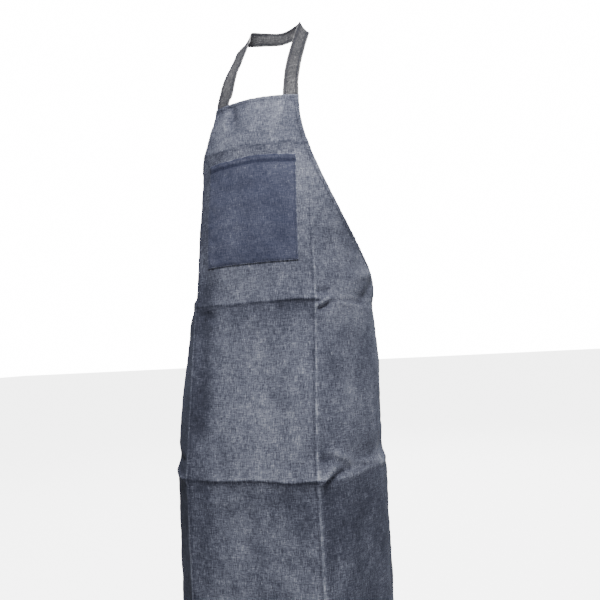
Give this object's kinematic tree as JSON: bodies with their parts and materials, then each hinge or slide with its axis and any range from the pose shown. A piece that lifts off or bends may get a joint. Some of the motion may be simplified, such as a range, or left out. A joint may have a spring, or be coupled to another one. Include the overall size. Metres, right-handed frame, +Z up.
{
  "type": "bib apron",
  "caption": "Full-length denim bib apron with a patch pocket, neck strap and waist ties in a bow, draped as worn.",
  "frame": {"origin": "where the middle of the neck strap rests on the nape or on a hook, on the strap's bearing face", "axes": "+Z up, the apron's front faces -Y, +X is the wearer's left"},
  "size_m": [0.4036, 0.3673, 1.283],
  "materials": {
    "denim": "washed chambray denim with slubs",
    "pocket_denim": "darker chambray denim",
    "tape": "folded denim tape",
    "thread": "navy sewing thread"
  },
  "bodies": {
    "neck_strap": {"neck_strap": "tape"},
    "apron": {"body_panel": "denim", "pocket": "pocket_denim", "bow_knot": "tape", "bib_hem_stitching": "thread", "bottom_hem_stitching": "thread", "pocket_mouth_stitching": "thread", "pocket_seam_stitching": "thread", "strap_end_left": "tape", "waist_tie_left": "tape", "bow_loop_left": "tape", "armhole_stitching_left": "thread", "side_hem_stitching_left": "thread", "pocket_tack_left": "thread", "strap_tack_left": "thread", "tie_tack_left": "thread", "strap_end_right": "tape", "waist_tie_right": "tape", "bow_loop_right": "tape", "armhole_stitching_right": "thread", "side_hem_stitching_right": "thread", "pocket_tack_right": "thread", "strap_tack_right": "thread", "tie_tack_right": "thread"},
    "tie_tail_left": {"tie_tail_left": "tape"},
    "tie_tail_right": {"tie_tail_right": "tape"}
  },
  "joints": [
    {"name": "strap_seam", "type": "hinge", "parent": "neck_strap", "child": "apron", "pos_m": [0, -0.2043, -0.242], "axis": [1, 0, 0], "range_deg": [-60, 15]},
    {"name": "tail_swing_left", "type": "hinge", "parent": "apron", "child": "tie_tail_left", "pos_m": [0.0065, 0.02767, -0.6173], "axis": [0, 1, 0], "range_deg": [-40, 20]},
    {"name": "tail_swing_right", "type": "hinge", "parent": "apron", "child": "tie_tail_right", "pos_m": [-0.0065, 0.01967, -0.6173], "axis": [0, 1, 0], "range_deg": [-20, 40]}
  ]
}
